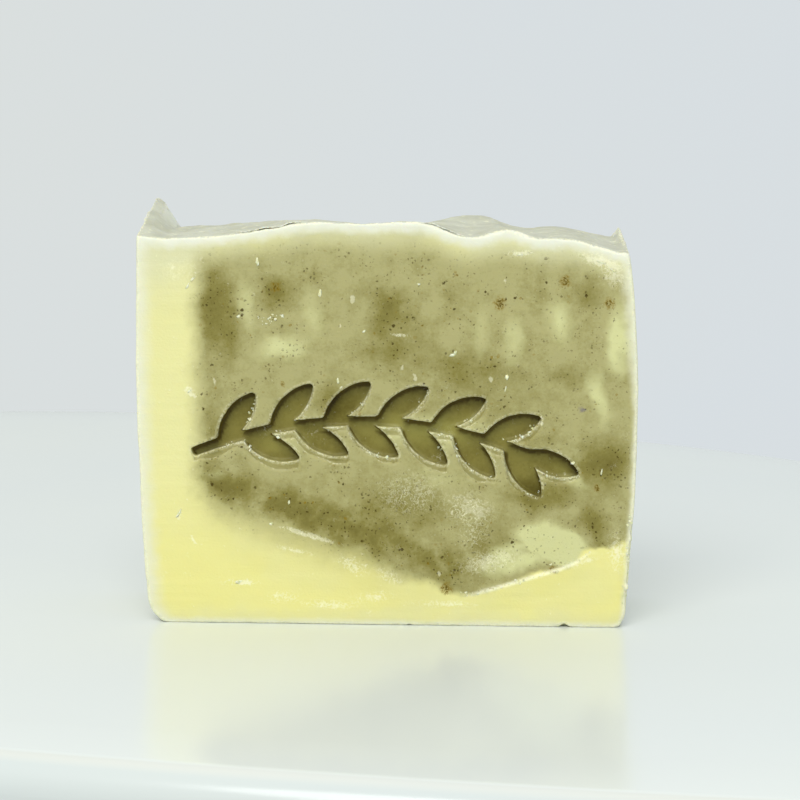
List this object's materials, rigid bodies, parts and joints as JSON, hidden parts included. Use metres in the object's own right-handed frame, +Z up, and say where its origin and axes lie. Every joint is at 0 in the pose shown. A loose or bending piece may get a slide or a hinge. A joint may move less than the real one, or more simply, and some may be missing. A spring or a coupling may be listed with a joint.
{
  "type": "bar of soap",
  "caption": "Hand-cut bar of marbled cold-process soap with a folded top and a leafy sprig pressed into its front.",
  "frame": {"origin": "under the middle of the bar, on the plane that it stands on", "axes": "+Z up, X across the bar along its longest side, -Y out of the face with the pressed sprig"},
  "size_m": [0.08, 0.025, 0.0672],
  "materials": {
    "soap": "waxy satin"
  },
  "bodies": {
    "root": {"soap_bar": "soap"}
  },
  "joints": []
}
